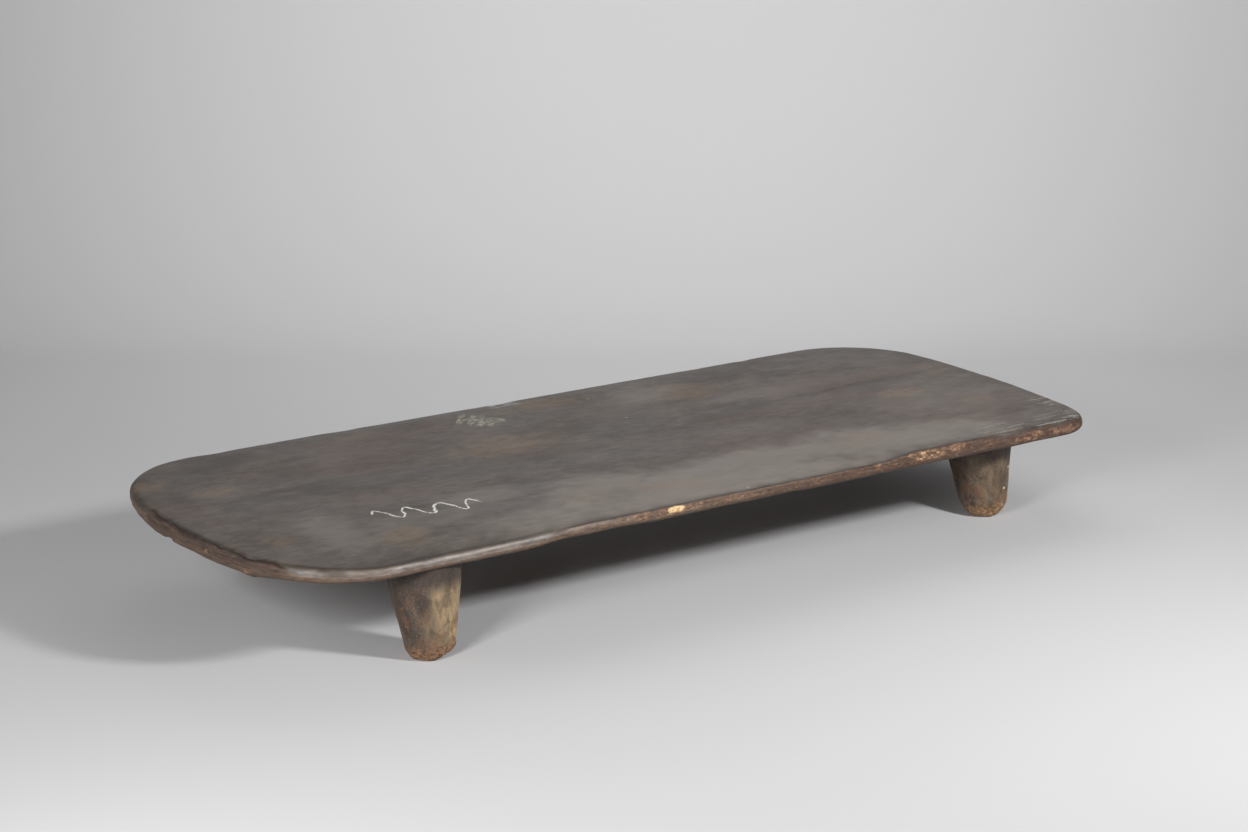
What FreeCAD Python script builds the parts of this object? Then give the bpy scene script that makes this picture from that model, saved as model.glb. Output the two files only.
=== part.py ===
"""A low West African daybed, carved from one log: a broad slab with rounded ends, standing on
four short tapered legs.

Frame: millimetres, +Z up, origin on the floor under the middle of the slab. X runs along the bed
and Y across it. The front is the -Y side and the left is the -X side.

The wood is continuous from slab to leg. Each leg is a solid of its own that ends flush against
the slab's underside, where a saw would part it from the slab.
"""

import FreeCAD, Part
import os
from math import sqrt

from FreeCAD import Placement, Rotation, Vector
import Sketcher

OUT = "parts"

# Driving dimensions: alias, value and meaning. Lengths are in millimetres and angles in degrees.
DIMENSIONS = [
    ("bed_length", 2006, "overall length along X"),
    ("bed_width", 812, "overall width along Y"),
    ("bed_height", 226, "floor to the slab's top face"),
    ("slab_thickness", 42, "top face to underside"),
    ("left_end_radius", 970, "plan radius of the bowed left end"),
    ("right_end_radius", 1800, "plan radius of the bowed right end"),
    ("front_left_corner", 237, "plan radius of the corner"),
    ("front_right_corner", 75, "plan radius of the corner"),
    ("back_right_corner", 208, "plan radius of the corner"),
    ("back_left_corner", 199, "plan radius of the corner"),
    ("top_edge_round", 14, "radius of the slab's upper edge"),
    ("bottom_edge_round", 9, "radius of the slab's lower edge"),
    ("dish_length", 1780, "length of the hollow worn into the top"),
    ("dish_width", 660, "width of the hollow"),
    ("dish_depth", 6, "depth of the hollow at its middle"),
    ("foot_chamfer", 5, "size of the chamfer round each sole"),
    ("worn_rise", 14, "height of the worn bevel where it leaves the sole"),
    ("worn_start", 6, "where the bevel starts, from the sole's centre"),
]

# Each leg: the centre of its sole, how far its root sits from that, and the two radii.
LEG_FIELDS = ("x", "y", "lean_x", "lean_y", "root", "sole")
LEGS = {
    "leg_front_left": (-645, -341, -7, 20, 75.5, 46),
    "leg_front_right": (785, -266, -8, 20, 76.5, 48),
    "leg_back_left": (-692, 264, 4, -18, 75, 46),
    "leg_back_right": (779, 262, -5, -18, 75, 47),
}

# The one leg whose sole is worn to a bevel, and the direction that the bevel faces from +X.
WORN_LEG, WORN_YAW = "leg_front_left", -34

DISH_TURN = 8  # degrees the hollow is turned through, wider than the hollow needs
CLEARANCE = 2  # how far the hollow's cutter stands above the top face


def make_sheet(doc):
    """The spreadsheet that drives every size: a note, the value and its unit-free alias per row."""
    sheet = doc.addObject("Spreadsheet::Sheet", "dims")
    rows = list(DIMENSIONS)
    for leg, values in LEGS.items():
        rows += [(f"{leg}_{field}", value, f"{leg}: {field}") for field, value in zip(LEG_FIELDS, values)]
    for number, (alias, value, note) in enumerate(rows, start=1):
        sheet.set(f"A{number}", note)
        sheet.set(f"B{number}", str(value))
        sheet.setAlias(f"B{number}", alias)
    doc.recompute()
    return sheet


def origin_plane(body, role):
    return next(f for f in body.Origin.OriginFeatures if f.Role == role)


def new_sketch(body, name, role):
    sketch = body.newObject("Sketcher::SketchObject", name)
    sketch.AttachmentSupport = [(origin_plane(body, role), "")]
    sketch.MapMode = "FlatFace"
    return sketch


def drive(sketch, constraint, name, expression):
    """Adds a dimension to a sketch and binds it to the sheet."""
    index = sketch.addConstraint(constraint)
    sketch.renameConstraint(index, name)
    sketch.setExpression(f"Constraints.{name}", expression)


def edges_at(shape, level):
    """Names of the edges that lie flat at one height."""
    flat = 0.01
    return [
        f"Edge{number}"
        for number, edge in enumerate(shape.Edges, start=1)
        if abs(edge.BoundBox.ZMin - level) < flat and abs(edge.BoundBox.ZMax - level) < flat
    ]


# ---------------------------------------------------------------- slab

HORIZONTAL_AXIS, VERTICAL_AXIS = -1, -2
ORIGIN = (-1, 1)
START, END, CENTRE = 1, 2, 3


def corner_centre(end_x, end_radius, corner_radius, half_width, side_x, side_y):
    """Centre of the corner arc that touches a straight long side and a bowed end from inside."""
    y = side_y * (half_width - corner_radius)
    x = end_x + side_x * sqrt((end_radius - corner_radius) ** 2 - y**2)
    return Vector(x, y, 0)


def arc_between(centre, radius, first, last):
    """Counter-clockwise arc round a centre, from the direction of one point to that of another."""
    circle = Part.Circle(centre, Vector(0, 0, 1), radius)
    return Part.ArcOfCircle(circle, circle.parameter(first), circle.parameter(last))


def draw_outline(sketch, sheet):
    """The slab's plan: two straight sides, two bowed ends and four different corners."""
    half_length, half_width = sheet.bed_length / 2, sheet.bed_width / 2
    end_centre = {
        1: Vector(half_length - sheet.right_end_radius, 0, 0),
        -1: Vector(sheet.left_end_radius - half_length, 0, 0),
    }
    end_radius = {1: sheet.right_end_radius, -1: sheet.left_end_radius}
    corner_radius = {
        (1, -1): sheet.front_right_corner,
        (1, 1): sheet.back_right_corner,
        (-1, 1): sheet.back_left_corner,
        (-1, -1): sheet.front_left_corner,
    }
    centre, on_side, on_end = {}, {}, {}
    for (side_x, side_y), radius in corner_radius.items():
        middle = corner_centre(
            end_centre[side_x].x, end_radius[side_x], radius, half_width, side_x, side_y
        )
        outward = (middle - end_centre[side_x]).normalize()
        centre[side_x, side_y] = middle
        on_side[side_x, side_y] = Vector(middle.x, side_y * half_width, 0)
        on_end[side_x, side_y] = middle + outward * radius

    def corner(key, first, last):
        return arc_between(centre[key], corner_radius[key], first[key], last[key])

    def end(side, first, last):
        return arc_between(end_centre[side], end_radius[side], on_end[first], on_end[last])

    outline = [
        Part.LineSegment(on_side[-1, -1], on_side[1, -1]),
        corner((1, -1), on_side, on_end),
        end(1, (1, -1), (1, 1)),
        corner((1, 1), on_end, on_side),
        Part.LineSegment(on_side[1, 1], on_side[-1, 1]),
        corner((-1, 1), on_side, on_end),
        end(-1, (-1, 1), (-1, -1)),
        corner((-1, -1), on_end, on_side),
    ]
    for piece in outline:
        sketch.addGeometry(piece, False)
    front, right_end, back, left_end = 0, 2, 4, 6
    right_tip = sketch.addGeometry(Part.Point(Vector(half_length, 0, 0)), True)
    left_tip = sketch.addGeometry(Part.Point(Vector(-half_length, 0, 0)), True)

    count = len(outline)
    for index in range(count):
        sketch.addConstraint(
            Sketcher.Constraint("Tangent", index, END, (index + 1) % count, START)
        )
    sketch.addConstraint(Sketcher.Constraint("Horizontal", front))
    sketch.addConstraint(Sketcher.Constraint("Horizontal", back))
    for end_arc, tip in ((right_end, right_tip), (left_end, left_tip)):
        for point in ((end_arc, CENTRE), (tip, START)):
            sketch.addConstraint(Sketcher.Constraint("PointOnObject", *point, HORIZONTAL_AXIS))
        sketch.addConstraint(Sketcher.Constraint("PointOnObject", tip, START, end_arc))

    span = Sketcher.Constraint
    drive(sketch, span("DistanceY", front, START, *ORIGIN, half_width), "front_side", "dims.bed_width / 2")
    drive(sketch, span("DistanceY", *ORIGIN, back, START, half_width), "back_side", "dims.bed_width / 2")
    drive(sketch, span("DistanceX", *ORIGIN, right_tip, START, half_length), "right_tip", "dims.bed_length / 2")
    drive(sketch, span("DistanceX", left_tip, START, *ORIGIN, half_length), "left_tip", "dims.bed_length / 2")
    names = {
        1: "front_right_corner",
        2: "right_end_radius",
        3: "back_right_corner",
        5: "back_left_corner",
        6: "left_end_radius",
        7: "front_left_corner",
    }
    for index, name in names.items():
        drive(sketch, span("Radius", index, getattr(sheet, name)), name, f"dims.{name}")


def draw_dish_profile(sketch, sheet):
    """Lengthwise section of the hollow: an arc under a flat lid, both below the turning axis."""
    depth = sheet.dish_depth
    turn = sheet.dish_width**2 / (8 * depth)
    sweep = sheet.dish_length**2 / (8 * depth) + depth / 2
    lid_level = depth + CLEARANCE - turn
    half = sqrt(sweep**2 - (sweep - depth - CLEARANCE) ** 2)
    left, right = Vector(-half, lid_level, 0), Vector(half, lid_level, 0)
    floor = Vector(0, -turn, 0)
    sketch.addGeometry(Part.Arc(left, floor, right), False)
    sketch.addGeometry(Part.LineSegment(right, left), False)
    arc, lid = 0, 1
    make = Sketcher.Constraint
    sketch.addConstraint(make("Coincident", arc, END, lid, START))
    sketch.addConstraint(make("Coincident", arc, START, lid, END))
    sketch.addConstraint(make("Horizontal", lid))
    sketch.addConstraint(make("PointOnObject", arc, CENTRE, VERTICAL_AXIS))
    turn_cell = "dims.dish_width ^ 2 / (8 * dims.dish_depth)"
    sweep_cell = "dims.dish_length ^ 2 / (8 * dims.dish_depth) + dims.dish_depth / 2"
    drive(sketch, make("Radius", arc, sweep), "sweep", sweep_cell)
    drive(
        sketch,
        make("DistanceY", *ORIGIN, arc, CENTRE, sweep - turn),
        "arc_centre",
        f"{sweep_cell} - {turn_cell}",
    )
    drive(
        sketch,
        make("DistanceY", lid, START, *ORIGIN, -lid_level),
        "lid_level",
        f"{turn_cell} - dims.dish_depth - {CLEARANCE}",
    )


def make_slab(doc, sheet):
    body = doc.addObject("PartDesign::Body", "slab")
    body.Label = "slab"
    body.setExpression("Placement.Base.z", "dims.bed_height - dims.slab_thickness")
    outline = new_sketch(body, "slab_outline", "XY_Plane")
    draw_outline(outline, sheet)
    plank = body.newObject("PartDesign::Pad", "slab_plank")
    plank.Profile = outline
    plank.setExpression("Length", "dims.slab_thickness")
    doc.recompute()

    underside = body.newObject("PartDesign::Fillet", "slab_lower_edge")
    underside.Base = (plank, edges_at(plank.Shape, 0))
    underside.setExpression("Radius", "dims.bottom_edge_round")
    doc.recompute()
    upper = body.newObject("PartDesign::Fillet", "slab_upper_edge")
    upper.Base = (underside, edges_at(underside.Shape, sheet.slab_thickness))
    upper.setExpression("Radius", "dims.top_edge_round")
    doc.recompute()

    profile = new_sketch(body, "dish_profile", "XZ_Plane")
    profile.setExpression(
        "AttachmentOffset.Base.y",
        "dims.slab_thickness - dims.dish_depth + dims.dish_width ^ 2 / (8 * dims.dish_depth)",
    )
    draw_dish_profile(profile, sheet)
    dish = body.newObject("PartDesign::Groove", "slab_dish")
    dish.Profile = profile
    dish.ReferenceAxis = (profile, ["H_Axis"])
    dish.Midplane = True
    dish.Angle = DISH_TURN
    doc.recompute()
    removed = upper.Shape.Volume - dish.Shape.Volume
    if removed <= 0:
        raise RuntimeError("the hollow cut nothing from the slab")
    return body


# ---------------------------------------------------------------- legs


def draw_section(body, name, level, radius, offset=None):
    """A round section of a leg at a height. Its level, radius and offset are sheet expressions."""
    section = new_sketch(body, name, "XY_Plane")
    section.setExpression("AttachmentOffset.Base.z", level)
    section.addGeometry(Part.Circle(Vector(0, 0, 0), Vector(0, 0, 1), 1), False)
    drive(section, Sketcher.Constraint("Radius", 0, 1), "radius", radius)
    if offset is None:
        section.addConstraint(Sketcher.Constraint("Coincident", 0, CENTRE, *ORIGIN))
    else:
        for direction, cell in zip(("DistanceX", "DistanceY"), offset):
            drive(section, Sketcher.Constraint(direction, *ORIGIN, 0, CENTRE, 1), direction, cell)
    return section


def wear_sole(doc, body, sheet):
    """Takes a wedge off one side of a leg's sole, where use has worn it to a bevel."""
    name = body.Label
    sole, start = getattr(sheet, f"{name}_sole"), sheet.worn_start
    reach = 2 * sole
    height = sheet.worn_rise * (reach - start) / (sole - start)
    wedge = new_sketch(body, f"{name}_wedge", "XZ_Plane")
    wedge.AttachmentOffset = Placement(Vector(0, 0, 0), Rotation(Vector(0, 1, 0), WORN_YAW))
    corners = [Vector(start, 0, 0), Vector(reach, 0, 0), Vector(reach, height, 0)]
    for first, last in zip(corners, corners[1:] + corners[:1]):
        wedge.addGeometry(Part.LineSegment(first, last), False)
    make = Sketcher.Constraint
    for index in range(3):
        wedge.addConstraint(make("Coincident", index, END, (index + 1) % 3, START))
    wedge.addConstraint(make("Horizontal", 0))
    wedge.addConstraint(make("Vertical", 1))
    wedge.addConstraint(make("PointOnObject", 0, START, HORIZONTAL_AXIS))
    reach_cell = f"2 * dims.{name}_sole"
    drive(wedge, make("DistanceX", *ORIGIN, 0, START, start), "start", "dims.worn_start")
    drive(wedge, make("DistanceX", *ORIGIN, 0, END, reach), "reach", reach_cell)
    drive(
        wedge,
        make("DistanceY", 1, START, 1, END, height),
        "height",
        f"dims.worn_rise * ({reach_cell} - dims.worn_start) / (dims.{name}_sole - dims.worn_start)",
    )
    doc.recompute()
    before = body.Shape.Volume
    cut = body.newObject("PartDesign::Pocket", f"{name}_bevel")
    cut.Profile = wedge
    cut.Type = "ThroughAll"
    cut.Midplane = True
    doc.recompute()
    if body.Shape.Volume >= before:
        raise RuntimeError(f"the bevel cut nothing from {name}")


def make_leg(doc, name):
    """A leg: a chamfered round sole, then a straight taper out to its wider, offset root."""
    body = doc.addObject("PartDesign::Body", name)
    body.Label = name
    body.setExpression("Placement.Base.x", f"dims.{name}_x")
    body.setExpression("Placement.Base.y", f"dims.{name}_y")

    sole_radius, chamfer = f"dims.{name}_sole", "dims.foot_chamfer"
    sole = draw_section(body, f"{name}_sole", "0 mm", f"{sole_radius} - {chamfer}")
    foot = draw_section(body, f"{name}_foot", chamfer, sole_radius)
    root = draw_section(
        body,
        f"{name}_root",
        "dims.bed_height - dims.slab_thickness",
        f"dims.{name}_root",
        (f"dims.{name}_lean_x", f"dims.{name}_lean_y"),
    )
    shaft = body.newObject("PartDesign::AdditiveLoft", f"{name}_shaft")
    shaft.Profile = sole
    shaft.Sections = [foot, root]
    shaft.Ruled = True
    doc.recompute()
    return body


# ---------------------------------------------------------------- checks and export


def check_document(doc):
    for item in doc.Objects:
        if {"Invalid", "Error"} & set(item.State):
            raise RuntimeError(f"{item.Name} failed: {item.State}")
        if item.isDerivedFrom("Sketcher::SketchObject") and not item.FullyConstrained:
            raise RuntimeError(f"{item.Name} is not fully constrained")


def export(body):
    shape = body.Shape
    if shape.isNull() or not shape.isValid() or len(shape.Solids) != 1:
        raise RuntimeError(f"{body.Label} is not one valid solid")
    shape.exportStep(os.path.join(OUT, f"{body.Label}.step"))
    box = shape.optimalBoundingBox()
    print(
        f"{body.Label}: {shape.Volume / 1e6:.2f} litres, "
        f"x {box.XMin:.1f}..{box.XMax:.1f}, y {box.YMin:.1f}..{box.YMax:.1f}, "
        f"z {box.ZMin:.1f}..{box.ZMax:.1f}"
    )


def main():
    os.makedirs(OUT, exist_ok=True)
    doc = FreeCAD.newDocument("daybed")
    sheet = make_sheet(doc)
    bodies = [make_slab(doc, sheet)]
    bodies += [make_leg(doc, name) for name in LEGS]
    wear_sole(doc, doc.getObject(WORN_LEG), sheet)
    doc.recompute()
    check_document(doc)
    for body in bodies:
        export(body)


main()
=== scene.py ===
"""A low daybed carved from one log, on a pale studio floor.

The slab and its four legs are modelled as carved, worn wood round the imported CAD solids. Lengths
are in metres, +X runs along the bed, +Y across it to the back, and the floor is at z = 0.
"""

from math import atan2, cos, hypot, pi, radians, sin, sqrt

import bpy
import numpy as np
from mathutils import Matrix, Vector, noise


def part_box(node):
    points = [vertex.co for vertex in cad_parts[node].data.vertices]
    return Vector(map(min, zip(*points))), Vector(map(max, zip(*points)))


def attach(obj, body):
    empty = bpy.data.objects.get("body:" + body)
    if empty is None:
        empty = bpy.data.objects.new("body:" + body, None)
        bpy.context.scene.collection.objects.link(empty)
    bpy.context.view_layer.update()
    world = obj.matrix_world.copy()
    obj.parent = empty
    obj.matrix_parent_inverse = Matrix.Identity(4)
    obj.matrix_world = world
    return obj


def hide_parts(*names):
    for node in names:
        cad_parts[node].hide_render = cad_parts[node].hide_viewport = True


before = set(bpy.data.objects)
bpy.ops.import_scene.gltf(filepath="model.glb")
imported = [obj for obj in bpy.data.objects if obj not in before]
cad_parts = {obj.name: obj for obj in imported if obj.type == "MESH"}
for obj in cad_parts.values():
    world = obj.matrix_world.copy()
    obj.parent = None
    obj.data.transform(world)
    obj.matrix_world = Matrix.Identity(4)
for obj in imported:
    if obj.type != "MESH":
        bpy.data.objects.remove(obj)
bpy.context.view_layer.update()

MM = 0.001

# ---------------------------------------------------------------- driving dimensions

SLAB_LOW, SLAB_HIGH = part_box("slab")
HALF_LENGTH = (SLAB_HIGH.x - SLAB_LOW.x) / 2
HALF_WIDTH = (SLAB_HIGH.y - SLAB_LOW.y) / 2
TOP, UNDERSIDE = SLAB_HIGH.z, SLAB_LOW.z

# Plan radii. A side or end is named by its sign: -1 is left or front, 1 is right or back.
END_RADIUS = {-1: 970 * MM, 1: 1800 * MM}
CORNER_RADIUS = {(-1, -1): 237 * MM, (1, -1): 75 * MM, (1, 1): 208 * MM, (-1, 1): 199 * MM}

# Mesh density of the slab: cells along it and across it.
CELLS_LONG, CELLS_WIDE = 310, 170
BAND = 45 * MM  # width of the border that follows the outline, outside the inner grid
UNDERSIDE_STEP = 8 * MM  # from the border to the underside's coarser grid

# The border's profile is measured by one number: top band -1 to 0, upper arris 0 to 1, side 1 to 2,
# lower arris 2 to 3, underside band 3 to 4.
PROFILE = np.concatenate(
    [
        np.linspace(-1, 0, 5)[:-1],
        np.linspace(0, 1, 9),
        np.linspace(1, 2, 6)[1:],
        np.linspace(2, 3, 6)[1:],
        np.linspace(3, 4, 5)[1:],
    ]
)

# Chips along the front edge: x, half length, how bare the wood is, and where on the profile.
FRONT_CHIPS = [
    (-0.845, 0.022, 0.50, 0.6),
    (-0.70, 0.05, 0.25, 1.7),
    (-0.50, 0.09, 0.25, 1.6),
    (-0.33, 0.06, 0.30, 1.2),
    (-0.215, 0.026, 0.50, 1.1),
    (-0.165, 0.020, 0.55, 1.5),
    (-0.128, 0.031, 1.00, 1.3),
    (-0.085, 0.026, 0.65, 1.2),
    (0.03, 0.05, 0.40, 1.2),
    (0.22, 0.05, 0.35, 1.2),
    (0.375, 0.016, 0.60, 0.9),
    (0.50, 0.055, 0.70, 1.1),
    (0.585, 0.025, 0.60, 0.9),
    (0.66, 0.03, 0.35, 1.2),
    (0.78, 0.05, 0.55, 1.3),
    (0.89, 0.07, 0.50, 1.3),
]
# Nicks in the back edge: x, half length and depth.
BACK_NICKS = [
    (-0.72, 0.04, 3 * MM),
    (-0.42, 0.05, 3 * MM),
    (-0.036, 0.035, 5 * MM),
    (0.62, 0.03, 4 * MM),
]

# Patches on the top, by kind: x, y, half length, half width and strength of each soft patch. Red,
# ochre and dark patches are stains, but the thin dark ones on the valley are painted shade, and
# satin patches are a smoother finish whose lighter colour is painted sheen.
TOP_PATCHES = {
    "red": [
        (-0.52, 0.20, 0.20, 0.12, 0.75),
        (-0.36, 0.30, 0.14, 0.08, 0.75),
        (-0.15, 0.06, 0.11, 0.05, 0.6),
        (0.25, -0.12, 0.16, 0.10, 0.7),
        (0.55, 0.02, 0.32, 0.035, 0.9),
        (0.75, -0.20, 0.24, 0.17, 0.55),
        (0.40, 0.20, 0.09, 0.07, 0.45),
        (-0.58, -0.05, 0.14, 0.05, 0.5),
        (0.97, -0.23, 0.03, 0.03, 0.8),
        (-0.93, 0.10, 0.05, 0.12, 0.4),
        (0.66, 0.12, 0.20, 0.07, 0.8),
        (0.15, 0.22, 0.16, 0.08, 0.5),
    ],
    "ochre": [
        (-0.93, 0.26, 0.04, 0.035, 0.8),
        (-0.84, 0.15, 0.05, 0.03, 0.9),
        (-0.17, 0.13, 0.12, 0.06, 0.85),
        (0.03, 0.35, 0.11, 0.04, 0.8),
        (0.36, 0.26, 0.07, 0.07, 0.7),
        (-0.45, 0.33, 0.06, 0.03, 0.5),
        (-0.88, -0.19, 0.03, 0.04, 0.8),
        (-0.66, -0.29, 0.05, 0.045, 0.9),
        (-0.08, -0.30, 0.06, 0.05, 0.7),
        (-0.25, -0.29, 0.04, 0.03, 0.5),
        (0.45, -0.26, 0.06, 0.04, 0.5),
        (0.02, -0.01, 0.04, 0.02, 0.5),
        (0.75, -0.04, 0.05, 0.03, 1.0),
        (0.94, 0.08, 0.06, 0.04, 0.5),
        (0.86, -0.17, 0.05, 0.03, 0.5),
    ],
    "dark": [
        # These two thin patches lie along the valley: painted shade of its slope.
        (-0.60, 0.088, 0.22, 0.016, 0.8),
        (-0.50, 0.040, 0.28, 0.030, 0.6),
        (-0.92, 0.14, 0.03, 0.04, 0.8),
        (-0.80, 0.30, 0.06, 0.06, 0.5),
        (-0.30, 0.02, 0.16, 0.05, 0.5),
        (-0.30, -0.12, 0.05, 0.03, 0.6),
        (0.06, 0.13, 0.10, 0.05, 0.6),
        (0.62, 0.26, 0.035, 0.025, 0.8),
        # These three thin patches lie along the valley: painted shade of its slope.
        (0.62, 0.082, 0.28, 0.013, 1.0),
        (0.74, 0.065, 0.10, 0.022, 0.8),
        (0.35, 0.050, 0.16, 0.025, 0.6),
        (0.45, 0.30, 0.07, 0.05, 0.4),
        (-0.36, -0.24, 0.03, 0.02, 0.4),
    ],
    # Satin patches: a smoother finish, with a lighter colour that is painted sheen.
    "satin_and_painted_sheen": [
        (0.18, -0.26, 0.26, 0.07, 1.0),
        (0.42, -0.28, 0.20, 0.09, 1.0),
        (-0.17, -0.24, 0.14, 0.08, 1.0),
        (0.0, -0.35, 0.48, 0.09, 1.0),
        (-0.06, -0.28, 0.30, 0.08, 0.9),
        (-0.76, -0.18, 0.06, 0.11, 0.6),
        (-0.42, -0.15, 0.09, 0.05, 0.7),
        (-0.35, -0.33, 0.24, 0.04, 0.6),
        (0.50, 0.15, 0.28, 0.04, 0.25),
        (0.52, -0.31, 0.28, 0.09, 0.95),
        (-0.62, -0.22, 0.16, 0.06, 0.4),
        (0.80, -0.11, 0.20, 0.14, 0.35),
        (0.26, 0.29, 0.10, 0.06, 0.6),
    ],
}

# How broken the rim of each kind of patch is. The order of the top's patch table sets the seeds of
# their noise.
RAGGEDNESS = {"red": 1.0, "ochre": 1.0, "dark": 1.0, "satin_and_painted_sheen": 0.5}

# Every colour, as sRGB from 0 to 255.
TONES = {
    "patina dark": (65, 56, 49),
    "patina light": (94, 84, 75),
    "patina grain": (38, 33, 30),
    "red patch": (92, 68, 56),
    # Dark patches are stains, and painted shade along the valley.
    "dark patch": (44, 38, 34),
    # The satin patch colour is painted sheen.
    "satin patch": (127, 118, 109),
    "ochre patch": (124, 100, 72),
    "chalk": (236, 234, 226),
    "smeared chalk": (162, 158, 138),
    "dusty chalk": (160, 160, 152),
    "scratch": (186, 184, 180),
    "pale fleck": (190, 170, 140),
    "bark dark": (68, 53, 43),
    "bark light": (107, 87, 72),
    "bark streak": (127, 106, 91),
    "bark blot": (100, 72, 55),
    "bark red": (72, 49, 37),
    "bark charred": (54, 39, 31),
    "chip dark": (88, 58, 42),
    "chip light": (176, 136, 104),
    "cream dark": (184, 144, 100),
    "cream light": (230, 204, 156),
    "edge crumb pale": (170, 140, 112),
    "edge crumb dark": (52, 40, 34),
    # Painted shade under the slab.
    "underside": (74, 62, 52),
    # Lighter bead colour: polished wood, and a painted highlight.
    "polished bead": (142, 130, 120),
    # Dark line colour: the ragged end's crack, and painted shade along the rim.
    "crack_and_rim_shade": (34, 26, 22),
    "leg dark": (60, 50, 43),
    "leg light": (98, 84, 71),
    "leg grain": (48, 39, 33),
    # Pale leg side: rubbed wood, and painted light.
    "leg rubbed": (178, 153, 116),
    "leg rust": (114, 80, 58),
    "leg crumb pale": (170, 146, 116),
    "leg crumb dark": (50, 38, 31),
    # The leg's root colour is painted shade under the slab.
    "leg root": (44, 37, 32),
    "foot dark": (84, 58, 42),
    "foot light": (132, 96, 68),
    "golden foot dark": (94, 67, 46),
    "golden foot light": (184, 143, 100),
    "foot crumb pale": (196, 158, 118),
    "foot crumb dark": (56, 37, 27),
    "pit": (60, 40, 28),
    "leg fleck": (226, 206, 170),
    "paper": (203, 203, 204),
}

# The worn top, below its highest level: a long hollow, a valley along the bed and a fall to the
# front edge, which is deeper to the left of STEEP_END.
TOP_DROP = 0.9 * MM
HOLLOW_DEPTH, HOLLOW_HALF_LENGTH, HOLLOW_HALF_WIDTH = 5 * MM, 0.93, 0.36
VALLEY_DEPTH, VALLEY_HALF_WIDTH = 1.2 * MM, 50 * MM
FALL_DEPTH, STEEP_FALL_DEPTH, FALL_WIDTH = 9 * MM, 4 * MM, 0.226
FALL_END, STEEP_END = 0.43, -0.42

# ---------------------------------------------------------------- noise and blending


def smooth_noise(points, wavelength, seed):
    """Smooth noise, about -1 to 1, at each point. The wavelength is one length per axis."""
    shift = Vector((seed * 17.31, seed * 5.17, seed * 9.73))
    scaled = points.reshape(-1, 3) / np.array(wavelength)
    values = np.array([noise.noise(Vector(p) + shift) for p in scaled]) * 1.6
    return values.reshape(points.shape[:-1])


def on_plan(plan):
    """Plan points as points in space, so that noise can be read there."""
    return np.concatenate([plan, np.zeros((*plan.shape[:-1], 1))], axis=-1)


def smoothstep(value, low, high):
    t = np.clip((value - low) / (high - low), 0, 1)
    return t * t * (3 - 2 * t)


def bump_at(value, centre, half_width):
    """1 at the centre, falling smoothly to 0 at the half width."""
    return smoothstep(1 - np.abs(value - centre) / half_width, 0, 1)


def within(value, low, high, soft):
    """1 between two limits, with soft shoulders."""
    rising = smoothstep(value, low - soft, low + soft)
    return rising * (1 - smoothstep(value, high - soft, high + soft))


# ---------------------------------------------------------------- slab


def corner_centre(key):
    """Centre of a corner arc that touches a straight side and a bowed end from inside."""
    side_x, side_y = key
    reach = END_RADIUS[side_x] - CORNER_RADIUS[key]
    y = side_y * (HALF_WIDTH - CORNER_RADIUS[key])
    return np.array([side_x * (HALF_LENGTH - END_RADIUS[side_x] + sqrt(reach**2 - y**2)), y])


def arc(centre, radius, first, last, count=160):
    angles = np.linspace(first, last, count)
    return centre + radius * np.column_stack([np.cos(angles), np.sin(angles)])


def half_corner(key, towards_end):
    """Half a corner arc, counter-clockwise, on its end's side or its long side's side."""
    side_x, side_y = key
    centre = corner_centre(key)
    end_angle = atan2(centre[1], centre[0] - side_x * (HALF_LENGTH - END_RADIUS[side_x]))
    side_angle = side_y * pi / 2
    if side_x < 0 and side_y < 0:
        side_angle += 2 * pi
        end_angle += 2 * pi
    middle = (end_angle + side_angle) / 2
    first, last = sorted([middle, end_angle if towards_end else side_angle])
    return arc(centre, CORNER_RADIUS[key], first, last)


def end_arc(side_x):
    """The bowed end between its two corner arcs, counter-clockwise."""
    middle = np.array([side_x * (HALF_LENGTH - END_RADIUS[side_x]), 0.0])
    front, back = corner_centre((side_x, -1)) - middle, corner_centre((side_x, 1)) - middle
    first, last = sorted([atan2(front[1], front[0]) % (2 * pi), atan2(back[1], back[0]) % (2 * pi)])
    if side_x > 0:
        first, last = last - 2 * pi, first
    return arc(middle, END_RADIUS[side_x], first, last)


def resample(line, count):
    """Evenly spaced points along a polyline, without its last one."""
    steps = np.hypot(*np.diff(line, axis=0).T)
    reach = np.concatenate([[0], np.cumsum(steps)])
    at = np.linspace(0, reach[-1], count + 1)[:-1]
    return np.column_stack([np.interp(at, reach, line[:, axis]) for axis in (0, 1)])


def outline():
    """Stations round the plan, counter-clockwise from the middle of the front left corner.

    Returns their points and outward normals.
    """
    front = np.vstack([half_corner((-1, -1), False), half_corner((1, -1), False)])
    right = np.vstack([half_corner((1, -1), True), end_arc(1), half_corner((1, 1), True)])
    back = np.vstack([half_corner((1, 1), False), half_corner((-1, 1), False)])
    left = np.vstack([half_corner((-1, 1), True), end_arc(-1), half_corner((-1, -1), True)])
    sides = [(front, CELLS_LONG), (right, CELLS_WIDE), (back, CELLS_LONG), (left, CELLS_WIDE)]
    points = []
    for index, (side, count) in enumerate(sides):
        following = sides[(index + 1) % 4][0][:1]
        points.append(resample(np.vstack([side, following]), count))
    points = np.vstack(points)
    along = np.roll(points, -1, axis=0) - np.roll(points, 1, axis=0)
    along /= np.hypot(*along.T)[:, None]
    return points, np.column_stack([along[:, 1], -along[:, 0]])


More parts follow.
